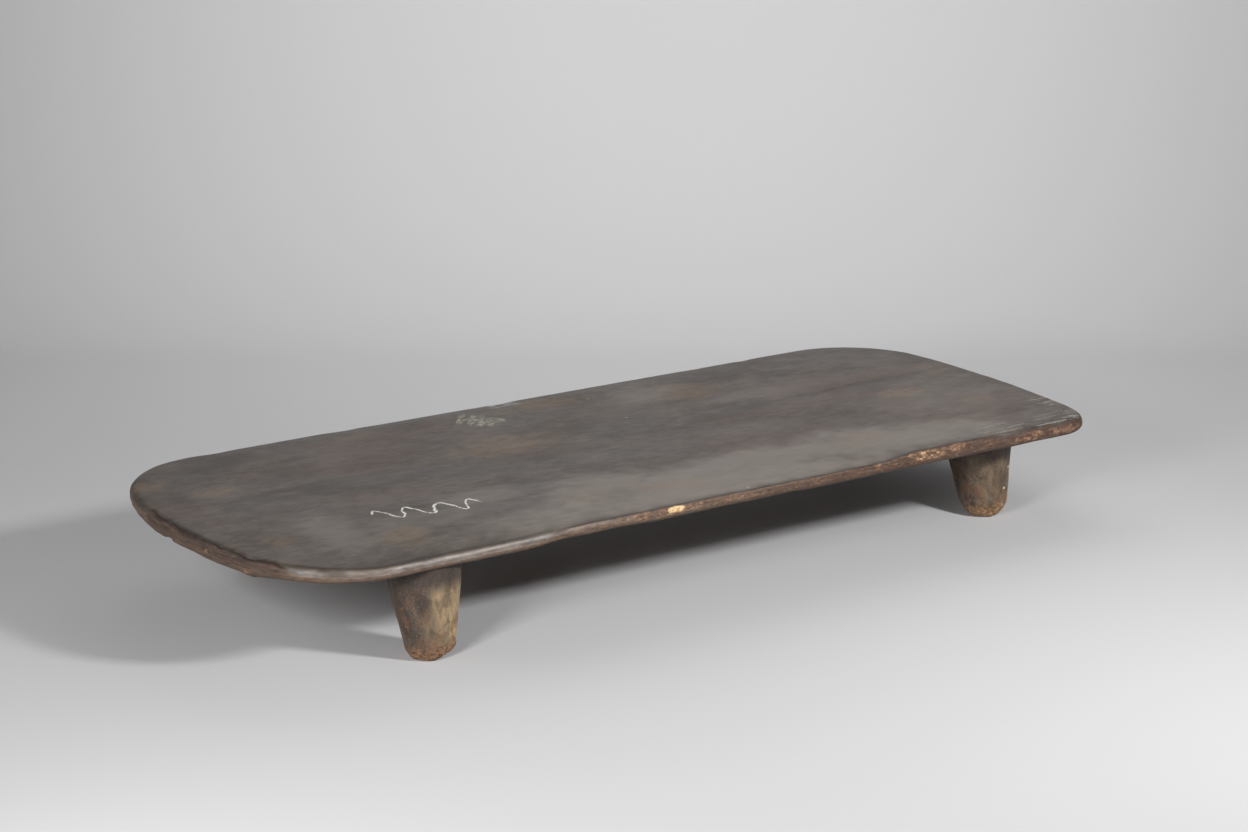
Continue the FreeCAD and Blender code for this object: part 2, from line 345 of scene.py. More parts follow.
def coons(ring, long_cells, wide_cells):
    """Fills a ring of points with a grid, blending its four sides."""
    corner = [0, long_cells, long_cells + wide_cells, 2 * long_cells + wide_cells]
    closed = np.vstack([ring, ring[:1]])
    front = closed[corner[0] : corner[1] + 1]
    right = closed[corner[1] : corner[2] + 1]
    back = closed[corner[2] : corner[3] + 1][::-1]
    left = closed[corner[3] :][::-1]
    u = np.linspace(0, 1, long_cells + 1)[None, :, None]
    v = np.linspace(0, 1, wide_cells + 1)[:, None, None]
    return (
        (1 - v) * front[None]
        + v * back[None]
        + (1 - u) * left[:, None]
        + u * right[:, None]
        - (1 - u) * (1 - v) * front[0]
        - u * (1 - v) * front[-1]
        - (1 - u) * v * back[0]
        - u * v * back[-1]
    )


def top_level(plan):
    """Height of the worn top: a long hollow, a valley, a fall to the front edge and tool waves."""
    x, y = plan[..., 0], plan[..., 1]
    reach = (x / HOLLOW_HALF_LENGTH) ** 2 + (y / HOLLOW_HALF_WIDTH) ** 2
    hollow = HOLLOW_DEPTH * np.clip(1 - reach, 0, 1) ** 0.8
    valley_y = 70 * MM + 8 * MM * np.sin(x / 0.31)
    valley = VALLEY_DEPTH * bump_at(y, valley_y, VALLEY_HALF_WIDTH) * within(x, -0.75, 0.88, 0.1)
    fall = FALL_DEPTH * within(x, -1.1, FALL_END, 0.06)
    fall += STEEP_FALL_DEPTH * within(x, -0.86, STEEP_END, 0.06)
    fall = fall * np.clip(1 - (HALF_WIDTH + y) / FALL_WIDTH, 0, 1) ** 2
    flat = on_plan(plan)
    waves = 1.0 * MM * smooth_noise(flat, (0.55, 0.25, 1), 1)
    waves += 0.22 * MM * smooth_noise(flat, (0.12, 0.085, 1), 2)
    ripples = 0.12 * MM * smooth_noise(flat, (0.040, 0.026, 1), 3)
    return TOP - TOP_DROP - hollow - valley - fall + waves + ripples


def underside_level(plan):
    """Height of the underside: flatter than the top, with deeper adze marks."""
    flat = on_plan(plan)
    waves = 1.0 * MM * smooth_noise(flat, (0.4, 0.2, 1), 4)
    marks = 1.5 * MM * np.abs(smooth_noise(flat, (0.085, 0.05, 1), 5))
    return UNDERSIDE + 1.5 * MM + waves + marks


def edge_character(points):
    """How each station of the edge is worn: 0 to 1 for each kind, and a wandering noise.

    Along the front it goes from polished, through fading, to crisp and then rounded off. At the
    left end it is broken ragged.
    """
    x, y = points.T
    front = smoothstep(-y, 0.30, 0.37)
    return {
        "front": front,
        "polished": within(x, -0.945, -0.42, 0.04) * front,
        "ragged": smoothstep(-x, 0.89, 0.95) * within(y, -0.315, 0.125, 0.02),
        "crisp": front * within(x, -0.40, 0.66, 0.05),
        "fading": 0.55 * within(x, -0.45, -0.26, 0.06) * front,
        "rounded": front * within(x, 0.66, 1.1, 0.06),
        "wander": smooth_noise(on_plan(points), (0.16, 0.16, 1), 6),
    }


def slab_rings(points, normals, worn):
    """The border's rings, from the top's inner ring to the underside's."""
    sharpened = 8 * worn["crisp"] + 3 * worn["ragged"]
    arris_wide = (14 + 4 * worn["rounded"] + 1.5 * worn["wander"] - sharpened) * MM
    arris_wide -= 3 * MM * worn["polished"]
    arris_high = (14 + 5 * worn["rounded"] + 1.5 * worn["wander"] - sharpened) * MM
    lower_wide = (15 - 3 * worn["polished"]) * MM
    lower_high = (12 - 4 * worn["polished"]) * MM
    thinned = within(points[:, 0], -0.44, -0.20, 0.04) * worn["front"]
    lift = (2.0 + 0.8 * worn["wander"] + 3 * thinned - 1.5 * worn["polished"]) * MM
    roll = 0.9 * MM
    gutter = 1.2 * worn["polished"] * MM

    rings = []
    for p in PROFILE:
        turn = (p - np.floor(p)) * pi / 2
        if p < 0:
            inset = arris_wide - p * (BAND - arris_wide)
        elif p < 1:
            inset = arris_wide * (1 - sin(turn))
        elif p <= 2:
            inset = 0 * arris_wide
        elif p < 3:
            inset = lower_wide * (1 - cos(turn))
        else:
            inset = lower_wide + (p - 3) * (BAND - lower_wide)
        plan = points - normals * inset[:, None]
        top = top_level(plan) - roll * max(0, 1 + min(p, 0)) ** 2
        top -= gutter * bump_at(p, -0.35, 0.45)
        under = underside_level(plan) + lift * max(0, 1 - max(p - 3, 0)) ** 2
        shoulder, knuckle = top - arris_high, under + lower_high
        if p < 0:
            z = top
        elif p < 1:
            z = top - arris_high * (1 - cos(turn))
        elif p <= 2:
            z = shoulder + (p - 1) * (knuckle - shoulder)
        elif p < 3:
            z = knuckle - lower_high * sin(turn)
        else:
            z = under
        rings.append(np.column_stack([plan, z]))
    return np.array(rings)


def front_chip_field(x, worn, grain):
    """How bare the wood is at each border vertex, from the chips along the front edge."""
    p = PROFILE[:, None]
    bare = np.zeros_like(grain)
    for centre, half, strength, level in FRONT_CHIPS:
        reach = np.hypot((x - centre) / half, (p - level) / 0.9)
        bare = np.maximum(bare, strength * smoothstep(1.25 - reach + 0.55 * grain, 0, 0.7))
    return bare * worn["front"]


def side_start(worn, coarse, grain):
    """Where on the profile the top's patina gives way to the side's rough wood."""
    start = 0.82 + 0.16 * worn["polished"] - 0.22 * worn["rounded"]
    start -= 0.55 * worn["crisp"] + 0.60 * worn["ragged"]
    return start + 0.12 * coarse + (0.08 + 0.06 * worn["ragged"]) * grain


def bare_wood(rings, worn, grain):
    """How bare the wood is at each border vertex: chips along the front, flakes elsewhere."""
    chips = front_chip_field(rings[..., 0], worn, grain)
    elsewhere = 1 - worn["front"]
    busy = smoothstep(smooth_noise(rings, (0.20, 0.20, 1), 7), 0.0, 0.6)
    flaked = smoothstep(grain, 0.35, 0.8) * within(PROFILE[:, None], 0.4, 2.2, 0.3)
    return np.maximum(chips, 0.6 * elsewhere * busy * flaked)


def left_end_marks(x, y, p):
    """A notch in the lower arris of the left end, and a splinter that stands out from it."""
    at_end = smoothstep(-x, 0.9, 0.95)
    notch = at_end * within(y, 0.008, 0.045, 0.005) * smoothstep(p, 1.2, 2.0)
    splinter = at_end * bump_at(y, -0.240, 0.018) * bump_at(p, 2.1, 0.9)
    return notch, splinter


def wear_edge(rings, normals, worn):
    """Carves chips, nicks and a ragged break into the border, and returns its masks.

    The depth cuts inwards and the drop lowers, both in millimetres.
    """
    p = PROFILE[:, None]
    x, y = rings[..., 0], rings[..., 1]
    coarse = smooth_noise(rings, (0.040, 0.030, 0.020), 8)
    grain = 0.6 * smooth_noise(rings, (0.018, 0.014, 0.010), 9) + 0.5 * coarse
    crumbs = smooth_noise(rings, (0.011, 0.011, 0.008), 10)

    past_rim = p - side_start(worn, coarse, grain)
    side = smoothstep(past_rim, -0.16, 0.16)
    bare = bare_wood(rings, worn, grain)
    notch, splinter = left_end_marks(x, y, p)

    scoop = smoothstep(grain, 0.05, 0.9) * within(p, -0.2, 2.3, 0.5)
    depth = 1.8 * scoop * (0.35 + bare) + 0.8 * coarse * within(p, 0.0, 2.6, 0.4)
    depth = depth * (1 - 0.7 * worn["polished"])
    depth += 0.5 * crumbs * within(p, 0.9, 2.5, 0.3) + 1.2 * bare * within(p, -0.2, 2.2, 0.5)

    crack_and_rim_shade = worn["ragged"] * bump_at(past_rim, 0.0, 0.40)
    depth += 2.2 * crack_and_rim_shade + 1.0 * worn["ragged"] * within(p, 0.1, 2.2, 0.2)
    drop = 1.8 * crack_and_rim_shade + 0.5 * bare * within(p, -0.2, 0.8, 0.3)
    depth += 2.5 * notch - 4 * splinter
    drop -= 2.5 * notch * within(p, 1.2, 3.4, 0.3) - 3.5 * splinter
    bare = np.maximum(bare, 0.62 * splinter)

    rings[..., :2] -= normals * (depth * MM)[..., None]
    rings[..., 2] -= drop * MM
    back = smoothstep(y, 0.36, 0.39)
    for centre, half, size in BACK_NICKS:
        rings[..., 1] -= size * back * bump_at(x, centre, half) * within(p, -0.6, 2.5, 0.5)

    # A dark line along the rim where the top turns down to the side: painted shade, darkest above
    # the polished bead.
    rim_shade = (0.34 + 0.46 * worn["crisp"]) * (1 - worn["ragged"]) * (1 - 0.7 * bare)
    rim_shade = rim_shade * bump_at(past_rim, -0.10, 0.42)
    rim_shade = np.maximum(rim_shade, 0.75 * worn["polished"] * bump_at(p, 0.0, 0.40))
    return {
        "side": side,
        "bare": np.clip(bare, 0, 1),
        "crack_and_rim_shade": np.clip(np.maximum(crack_and_rim_shade, rim_shade), 0, 1),
        # The bead: polish, and a painted highlight along it.
        "polish_and_highlight": np.maximum(worn["polished"], worn["fading"]) * within(p, 0.46, 1.25, 0.20),
        "ragged": worn["ragged"] + 0 * p,
        "calm": worn["polished"] + 0 * p,
    }


def ring_faces(first, second, count):
    """Quads between two rings of the same count, whose vertices start at the given indexes."""
    return [
        (first + i, second + i, second + (i + 1) % count, first + (i + 1) % count)
        for i in range(count)
    ]


def grid_faces(ring_index, inner_start, long_cells, wide_cells, upward):
    """Quads of a grid whose rim vertices are a ring's and whose inner ones follow row by row."""
    index = np.zeros((wide_cells + 1, long_cells + 1), int)
    inner = np.arange((wide_cells - 1) * (long_cells - 1))
    index[1:-1, 1:-1] = inner_start + inner.reshape(wide_cells - 1, long_cells - 1)
    half = long_cells + wide_cells
    index[0] = ring_index[: long_cells + 1]
    index[:, -1] = ring_index[long_cells : half + 1]
    index[-1] = ring_index[half : half + long_cells + 1][::-1]
    index[:, 0] = np.append(ring_index[half + long_cells :], ring_index[0])[::-1]
    quads = np.stack([index[:-1, :-1], index[:-1, 1:], index[1:, 1:], index[1:, :-1]], axis=-1)
    quads = quads.reshape(-1, 4)
    return (quads if upward else quads[:, ::-1]).tolist()


def inner_points(ring, long_cells, wide_cells, level):
    """Vertices inside a ring, at the height that a level function gives."""
    plan = coons(ring[:, :2], long_cells, wide_cells)[1:-1, 1:-1].reshape(-1, 2)
    return np.column_stack([plan, level(plan)])


def patch_mask(verts, kind, seed):
    """Soft, broken patches of one kind on the top."""
    ragged = 0.45 * smooth_noise(verts * (1, 1, 0), (0.10, 0.06, 1), seed)
    ragged += 0.35 * smooth_noise(verts * (1, 1, 0), (0.032, 0.022, 1), seed + 1)
    mask = np.zeros(len(verts))
    for x, y, half_long, half_wide, strength in TOP_PATCHES[kind]:
        reach = np.hypot((verts[:, 0] - x) / half_long, (verts[:, 1] - y) / half_wide)
        depth_inside = 1.45 - reach + RAGGEDNESS[kind] * ragged
        mask = np.maximum(mask, strength * smoothstep(depth_inside, 0, 1.1))
    return mask


def underside_mesh(ring, normals, outer, start):
    """Vertices and faces inside the border's last ring, at half its density.

    The ring's own vertices start at index outer, and the new ones at index start.
    """
    count, half_count = len(ring), len(ring) // 2
    half_ring = ring[::2].copy()
    half_ring[:, :2] -= normals[::2] * UNDERSIDE_STEP
    half_ring[:, 2] = underside_level(half_ring[:, :2])
    faces = []
    for i in range(half_count):
        a, b, c = outer + 2 * i, outer + 2 * i + 1, outer + (2 * i + 2) % count
        near, far = start + i, start + (i + 1) % half_count
        faces += [(a, near, b), (b, near, far), (b, far, c)]
    inner = inner_points(half_ring, CELLS_LONG // 2, CELLS_WIDE // 2, underside_level)
    rim = np.arange(start, start + half_count)
    faces += grid_faces(rim, start + half_count, CELLS_LONG // 2, CELLS_WIDE // 2, False)
    return np.vstack([half_ring, inner]), faces


def slab_mesh():
    """The slab's vertices, faces and masks: the border, a top grid and a coarser underside."""
    points, normals = outline()
    count = len(points)
    worn = edge_character(points)
    rings = slab_rings(points, normals, worn)
    masks = wear_edge(rings, normals, worn)
    border = rings.reshape(-1, 3)
    faces = []
    for step in range(len(rings) - 1):
        faces += ring_faces(step * count, (step + 1) * count, count)

    top = inner_points(rings[0], CELLS_LONG, CELLS_WIDE, top_level)
    faces += grid_faces(np.arange(count), len(border), CELLS_LONG, CELLS_WIDE, True)
    outer, start = len(border) - count, len(border) + len(top)
    below, below_faces = underside_mesh(rings[-1], normals, outer, start)
    faces += below_faces

    verts = np.vstack([border, top, below])
    inner_side = np.concatenate([np.zeros(len(top)), np.ones(len(below))])
    for name, values in masks.items():
        masks[name] = np.append(values.ravel(), inner_side * (name == "side"))
    # Darker towards the underside: painted shade under the slab.
    masks["under"] = smoothstep(UNDERSIDE + 14 * MM - verts[:, 2], 0, 8 * MM)
    for index, kind in enumerate(TOP_PATCHES):
        masks[kind] = patch_mask(verts, kind, 60 + 2 * index) * (1 - masks["side"])
    return bend_outline(verts), faces, masks


def bend_outline(verts):
    """Bows the front side in a little, lets both long sides wander and swells the ends."""
    front = smoothstep(-verts[:, 1], 0.05, 0.40)
    verts[:, 1] += 2 * MM * front * np.clip(1 - (verts[:, 0] / 0.86) ** 2, 0, 1)
    drift = smooth_noise(verts * (1, 1, 0), (0.33, 0.33, 1), 14)
    verts[:, 1] += 1.6 * MM * drift * smoothstep(np.abs(verts[:, 1]), 0.25, 0.40)
    right, left = smoothstep(verts[:, 0], 0.80, 1.0), smoothstep(-verts[:, 0], 0.85, 1.0)
    verts[:, 0] += (3 + 4 * smoothstep(-verts[:, 1], 0.15, 0.38)) * MM * right
    verts[:, 0] -= 4 * MM * left * within(verts[:, 1], 0.0, 0.30, 0.08)
    return verts


# ---------------------------------------------------------------- legs


def leg_shape(flat, sharp, rounding, rubbed_and_lit, bare, golden, seed):
    """How a leg is carved.

    flat is the direction of one of its flats, in degrees, and sharp is how sharp its corners are.
    rounding is the height and depth of the round at the sole; then come the direction and strength
    of the pale side, which is rubbed wood and painted light where it faces the key lamp; bare is
    the height of the worn foot, and golden is how ochre the foot is.
    Lengths are in millimetres.
    """
    rise, inset = rounding
    bearing, rub_and_light = rubbed_and_lit
    return {
        "flat": flat,
        "sharp": sharp,
        "rise": rise,
        "inset": inset,
        "bearing": bearing,
        "rub_and_light": rub_and_light,
        "bare": bare,
        "golden": golden,
        "seed": seed,
    }


# On the front legs the pale side faces the key lamp: partly rubbed wood, partly painted light.
LEG_SHAPES = {
    "leg_front_left": leg_shape(-74, 9, (14, 9), (-66, 1.0), 22, 0.30, 21),
    "leg_front_right": leg_shape(-69, 6, (40, 24), (-86, 0.30), 28, 0.9, 32),
    "leg_back_left": leg_shape(-50, 7, (26, 15), (-90, 0.5), 22, 0.4, 43),
    "leg_back_right": leg_shape(-95, 7, (32, 18), (60, 0.5), 24, 0.5, 54),
}
LEG_FLATS = 6
LEG_STEPS_ROUND, LEG_STEPS_UP, SOLE_STEPS = 168, 96, 6
LEG_CROWDING = 1.35  # above 1, the rows of vertices crowd together towards the sole
LEG_ROOT = UNDERSIDE + 6 * MM  # a leg runs a little way up into the slab
PROBE_HEIGHT, PROBE_SOFT = 5 * MM, 0.2 * MM  # where a CAD leg's lower section is measured

# The leg whose sole is worn to a slope, from a start beside its middle, up to a height on the leg.
WORN_LEG, WORN_DIRECTION = "leg_front_left", radians(-34)
WORN_START, WORN_SLOPE, WORN_REACH = 6 * MM, 0.35, 50 * MM


def leg_section(node, level):
    """Centre and radius of a CAD leg at a height, from the leg's own vertices."""
    co = np.array([v.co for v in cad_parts[node].data.vertices])
    ends = []
    for height in (PROBE_HEIGHT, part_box(node)[1].z):
        ring = co[np.abs(co[:, 2] - height) < PROBE_SOFT]
        middle = (ring.min(0) + ring.max(0)) / 2
        ends.append((height, middle[:2], np.hypot(*(ring[:, :2] - middle[:2]).T).max()))
    (low, low_centre, low_radius), (high, high_centre, high_radius) = ends
    share = (level - low) / (high - low)
    centre = low_centre + share * (high_centre - low_centre)
    return centre, low_radius + share * (high_radius - low_radius)


def flatted_radius(angles, shape):
    """Radius, 1 at most, of a round that is hewn to soft-cornered flats."""
    total = np.zeros_like(angles)
    for index in range(LEG_FLATS):
        facing = np.cos(angles - radians(shape["flat"]) - 2 * pi * index / LEG_FLATS)
        total += np.clip(facing, 0, 1) ** shape["sharp"]
    radius = total ** (-1 / shape["sharp"])
    return radius / radius.max()


def leg_rows(node, angles, around):
    """Rows of a smooth leg's vertices: out over the sole, then up to its root in the slab."""
    shape = LEG_SHAPES[node]
    outline_radius = flatted_radius(angles, shape)[:, None]
    low_centre, low_radius = leg_section(node, 0)
    high_centre, high_radius = leg_section(node, LEG_ROOT)
    rise, inset = shape["rise"] * MM, shape["inset"] * MM
    rows = []
    for share in np.linspace(0, 1, SOLE_STEPS + 1)[1:-1]:
        rows.append(on_plan(low_centre + around * (low_radius - inset) * outline_radius * share))
    for height in LEG_ROOT * np.linspace(0, 1, LEG_STEPS_UP) ** LEG_CROWDING:
        share = height / LEG_ROOT
        centre = low_centre + share * (high_centre - low_centre)
        radius = low_radius + share * (high_radius - low_radius)
        radius -= inset * (1 - sqrt(1 - max(0, 1 - height / rise) ** 2))
        row = on_plan(centre + around * radius * outline_radius)
        row[:, 2] = height
        rows.append(row)
    return np.array(rows)


def carve_leg(rows, node, angles, around):
    """Carves strokes, facets and pits into a leg's rows, and returns its masks."""
    shape = LEG_SHAPES[node]
    seed = shape["seed"]
    z = rows[..., 2]  # a view, so it follows the worn sole
    wall = (np.arange(len(rows)) >= SOLE_STEPS - 1).astype(float)[:, None]
    strokes = smooth_noise(rows, (0.034, 0.034, 0.13), seed)
    facets = smooth_noise(rows, (0.06, 0.06, 0.07), seed + 1)
    lumps = smooth_noise(rows, (0.014, 0.014, 0.014), seed + 2)
    low = smoothstep(50 * MM - z, 0, 40 * MM)
    pits = smoothstep(smooth_noise(rows, (0.010, 0.010, 0.008), seed + 3), 0.15, 0.9) * low
    relief = 1.1 * strokes + 1.0 * facets + 0.35 * lumps + 0.5 * low * lumps - 1.3 * pits
    rows[..., :2] += around * (wall * relief * MM)[..., None]
    if node == WORN_LEG:
        slope_sole(rows, leg_section(node, 0)[0])

    # The pale side: rubbed wood, and painted light where the leg faces the key lamp.
    bearing = np.cos(angles - radians(shape["bearing"]))[None]
    patchy = smooth_noise(rows, (0.05, 0.05, 0.09), seed + 4)
    rubbed_and_lit = shape["rub_and_light"] * smoothstep(bearing + 0.30 * patchy, 0.35, 0.9)
    rubbed_and_lit = rubbed_and_lit * within(z, 0.025, 0.14, 0.02)
    limit = (shape["bare"] + 14 * (bearing - 0.4) + 12 * patchy + 7 * lumps) * MM
    foot = smoothstep(limit - z, -20 * MM, 18 * MM)
    return {"pits": pits * wall, "rubbed_and_lit": rubbed_and_lit, "foot": foot, "golden": foot * shape["golden"]}


def leg_mesh(node):
    """A leg's vertices, faces and masks. The last two vertices close its sole and its root."""
    angles = np.linspace(0, 2 * pi, LEG_STEPS_ROUND, endpoint=False)
    around = np.column_stack([np.cos(angles), np.sin(angles)])
    rows = leg_rows(node, angles, around)
    masks = carve_leg(rows, node, angles, around)
    low_centre, high_centre = leg_section(node, 0)[0], leg_section(node, LEG_ROOT)[0]
    verts = np.vstack([rows.reshape(-1, 3), [[*low_centre, 0.0]], [[*high_centre, LEG_ROOT]]])
    count, last = len(angles), (len(rows) - 1) * len(angles)
    faces = []
    for row in range(len(rows) - 1):
        faces += ring_faces((row + 1) * count, row * count, count)
    sole_middle, root_middle = len(verts) - 2, len(verts) - 1
    faces += [(sole_middle, (i + 1) % count, i) for i in range(count)]
    faces += [(root_middle, last + i, last + (i + 1) % count) for i in range(count)]
    return verts, faces, {name: np.append(value.ravel(), [0, 0]) for name, value in masks.items()}


def slope_sole(rows, centre):
    """Wears the sole to a slope that rises towards one direction."""
    facing = np.array([cos(WORN_DIRECTION), sin(WORN_DIRECTION)])
    lift = np.clip(((rows[..., :2] - centre) @ facing - WORN_START) * WORN_SLOPE, 0, None)
    z = rows[..., 2]
    rows[..., 2] = np.where(z < WORN_REACH, lift + z * (1 - lift / WORN_REACH), z)


# ---------------------------------------------------------------- materials


def tone(name):
    """A colour of TONES, as the linear value that a shader takes."""
    channels = [c / 255 for c in TONES[name]]
    return (*[c / 12.92 if c < 0.04045 else ((c + 0.055) / 1.055) ** 2.4 for c in channels], 1)


class Shader:
    """A material's node tree, built through short calls. Values may be sockets or plain numbers."""

    def __init__(self, name):
        self.material = bpy.data.materials.new(name)
        self.material.use_nodes = True
        self.tree = self.material.node_tree
        self.surface = self.tree.nodes["Principled BSDF"]
        self.place = self.add("ShaderNodeTexCoord").outputs["Object"]
        self.xyz = self.add("ShaderNodeSeparateXYZ", {0: self.place}).outputs

    def add(self, kind, inputs=(), **settings):
        node = self.tree.nodes.new(kind)
        for key, value in settings.items():
            setattr(node, key, value)
        for key, value in dict(inputs).items():
            self.feed(node.inputs[key], value)
        return node

    def feed(self, socket, value):
        if isinstance(value, bpy.types.NodeSocket):
            self.tree.links.new(value, socket)
        else:
            socket.default_value = value

    def math(self, operation, a, b=0.0, clamp=False):
        node = self.add("ShaderNodeMath", {0: a, 1: b}, operation=operation, use_clamp=clamp)
        return node.outputs[0]

    def times(self, a, b):
        return self.math("MULTIPLY", a, b)

    def plus(self, a, b):
        return self.math("ADD", a, b)

    def stretch(self, size, seed=0):
        """Object coordinates in units of a size per axis, shifted by a seed."""
        inputs = {"Vector": self.place, "Scale": [1 / s for s in size]}
        inputs["Location"] = [seed * 3.7, seed * 1.3, seed * 2.9]
        return self.add("ShaderNodeMapping", inputs).outputs[0]

    def noise(self, size, seed=0, detail=2.0, rough=0.5, warp=0.0):
        inputs = {"Vector": self.stretch(size, seed), "Scale": 1.0, "Detail": detail}
        inputs |= {"Roughness": rough, "Distortion": warp}
        return self.add("ShaderNodeTexNoise", inputs).outputs["Fac"]

    def spots(self, size, seed, radius):
        """Small round spots, one per cell at most, 1 inside."""
        inputs = {"Vector": self.stretch(size, seed), "Scale": 1.0}
        distance = self.add("ShaderNodeTexVoronoi", inputs).outputs["Distance"]
        return self.ramp(distance, radius, radius * 0.5)

    def ramp(self, value, low, high, start=0.0, end=1.0):
        inputs = {"Value": value, "From Min": low, "From Max": high, "To Min": start, "To Max": end}
        node = self.add("ShaderNodeMapRange", inputs, interpolation_type="SMOOTHSTEP")
        return node.outputs[0]

    def mix(self, share, a, b):
        """Mixes two colours, each a socket or the name of a tone."""
        a, b = [tone(c) if isinstance(c, str) else c for c in (a, b)]
        node = self.add("ShaderNodeMix", {0: share, 6: a, 7: b}, data_type="RGBA")
        return node.outputs[2]

    def blend(self, share, a, b):
        """Mixes two plain values."""
        return self.add("ShaderNodeMix", {0: share, 2: a, 3: b}, data_type="FLOAT").outputs[0]

    def mask(self, name):
        return self.add("ShaderNodeAttribute", attribute_name=name).outputs["Fac"]

    def zone(self, low, high, soft=0.02):
        """1 over a rectangle of the plan, given by two corners, with soft sides."""
        share = 1.0
        for axis in (0, 1):
            rising = self.ramp(self.xyz[axis], low[axis] - soft, low[axis] + soft)
            falling = self.ramp(self.xyz[axis], high[axis] + soft, high[axis] - soft)
            share = self.times(share, self.times(rising, falling))
        return share

    def squiggle(self, start, end, swing, waves, width):
        """A chalk line on the plan that waves from side to side between two points."""
        length = hypot(end[0] - start[0], end[1] - start[1])
        along = [(end[axis] - start[axis]) / length for axis in (0, 1)]
        across = [-along[1], along[0]]
        reach, offset = [
            self.math(
                "SUBTRACT",
                self.plus(self.times(self.xyz["X"], way[0]), self.times(self.xyz["Y"], way[1])),
                way[0] * start[0] + way[1] * start[1],
            )
            for way in (along, across)
        ]
        wobble = self.times(self.math("SUBTRACT", self.noise((0.05, 0.05, 0.05), 71), 0.5), 0.03)
        phase = self.times(self.plus(reach, wobble), 2 * pi * waves / length)
        gap = self.math("SUBTRACT", offset, self.times(self.math("SINE", phase), swing))
        slope = self.times(self.math("COSINE", phase), swing * 2 * pi * waves / length)
        spread = self.math("SQRT", self.plus(self.times(slope, slope), 1.0))
        distance = self.math("DIVIDE", self.math("ABSOLUTE", gap), spread)
        line = self.ramp(distance, width * 0.6, width * 0.3)
        ends = self.times(self.ramp(reach, 0, width), self.ramp(reach, length, length - width))
        return self.times(line, ends)

    def bump(self, height, depth, below=None):
        inputs = {"Height": height, "Distance": depth, "Strength": 1.0}
        if below is not None:
            inputs["Normal"] = below
        return self.add("ShaderNodeBump", inputs).outputs[0]

    def see_through_back(self):
        """Makes the surface clear when it is seen from behind."""
        back = self.add("ShaderNodeNewGeometry").outputs["Backfacing"]
        clear = self.add("ShaderNodeBsdfTransparent").outputs[0]
        mixed = self.add("ShaderNodeMixShader", {0: back}, label="one-sided")
        self.tree.links.new(self.surface.outputs[0], mixed.inputs[1])
        self.tree.links.new(clear, mixed.inputs[2])
        self.tree.links.new(mixed.outputs[0], self.tree.nodes["Material Output"].inputs["Surface"])

    def finish(self, base, roughness, normal, specular=0.5):
        self.feed(self.surface.inputs["Base Color"], base)
        self.feed(self.surface.inputs["Roughness"], roughness)
        self.feed(self.surface.inputs["Normal"], normal)
        self.feed(self.surface.inputs["Specular IOR Level"], specular)
        return self.material


def top_colour(s, fine):
    """Mottled grey-brown patina with stain patches, painted shade along the valley, lighter satin
    patches of painted sheen, a chalk line, rubbed chalk, scratches and flecks.
    """
    cloud = s.noise((0.13, 0.075, 0.05), 4, 4, 0.6, 0.5)
    mottle = s.noise((0.040, 0.024, 0.03), 2, 4, 0.62, 0.4)
    speckle = s.noise((0.018, 0.012, 0.02), 15, 4, 0.65, 0.3)
    depth = s.plus(s.times(cloud, 0.35), s.plus(s.times(mottle, 0.40), s.times(speckle, 0.25)))
    top = s.mix(s.ramp(depth, 0.38, 0.64), "patina dark", "patina light")
    top = s.mix(s.ramp(fine, 0.35, 0.75, 0.0, 0.25), top, "patina grain")
    ragged = s.ramp(speckle, 0.30, 0.62, 0.35, 1.0)
    top = s.mix(s.times(s.mask("red"), s.times(ragged, 0.60)), top, "red patch")
    # Dark patches: stains, and painted shade along the valley.
    top = s.mix(s.times(s.mask("dark"), s.times(ragged, 0.75)), top, "dark patch")
    # Satin patches lighten the top: painted sheen.
    top = s.mix(s.times(s.mask("satin_and_painted_sheen"), 0.70), top, "satin patch")
    top = s.mix(s.times(s.mask("ochre"), s.times(ragged, 0.50)), top, "ochre patch")

    chalky = s.ramp(s.noise((0.006, 0.006, 0.006), 17, 3, 0.7), 0.36, 0.52)
    line = s.squiggle((-0.66, -0.15), (-0.44, -0.19), 0.030, 3.5, 0.0056)
    top = s.mix(s.times(line, s.times(chalky, 0.95)), top, "chalk")
    smeared = s.times(rubbed_chalk(s), s.ramp(speckle, 0.36, 0.60, 0.15, 0.8))
    top = s.mix(smeared, top, "smeared chalk")
    rim_chalk = s.zone((-0.075, 0.365), (0.0, 0.41), 0.012)
    rim_chalk = s.times(rim_chalk, s.ramp(speckle, 0.42, 0.56, 0.0, 0.7))
    top = s.mix(rim_chalk, top, "dusty chalk")

    scratch = s.ramp(s.noise((0.11, 0.0055, 0.05), 18, 2, 0.5, 1.2), 0.57, 0.66)
    along_front = s.zone((0.66, -0.40), (0.96, -0.34), 0.02)
    round_corner = s.zone((0.93, -0.34), (1.0, -0.22), 0.02)
    scratch = s.times(scratch, s.times(s.plus(along_front, round_corner), chalky))
    top = s.mix(s.times(scratch, 0.80), top, "scratch")
    pale = s.spots((0.16, 0.11, 0.3), 19, 0.028)
    return s.mix(s.times(pale, 0.6), top, "pale fleck")


def rubbed_chalk(s):
    """A small scribble of thin chalk strokes near the back edge, smeared by hand."""
    start, end = (-0.182, 0.345), (-0.112, 0.262)
    loops = s.squiggle(start, end, 0.020, 4.5, 0.012)
    sweep = s.squiggle((-0.175, 0.325), (-0.095, 0.270), 0.014, 1.5, 0.010)
    smear = s.times(s.zone((-0.165, 0.27), (-0.115, 0.335), 0.018), 0.35)
    return s.math("MAXIMUM", s.math("MAXIMUM", loops, sweep), smear)


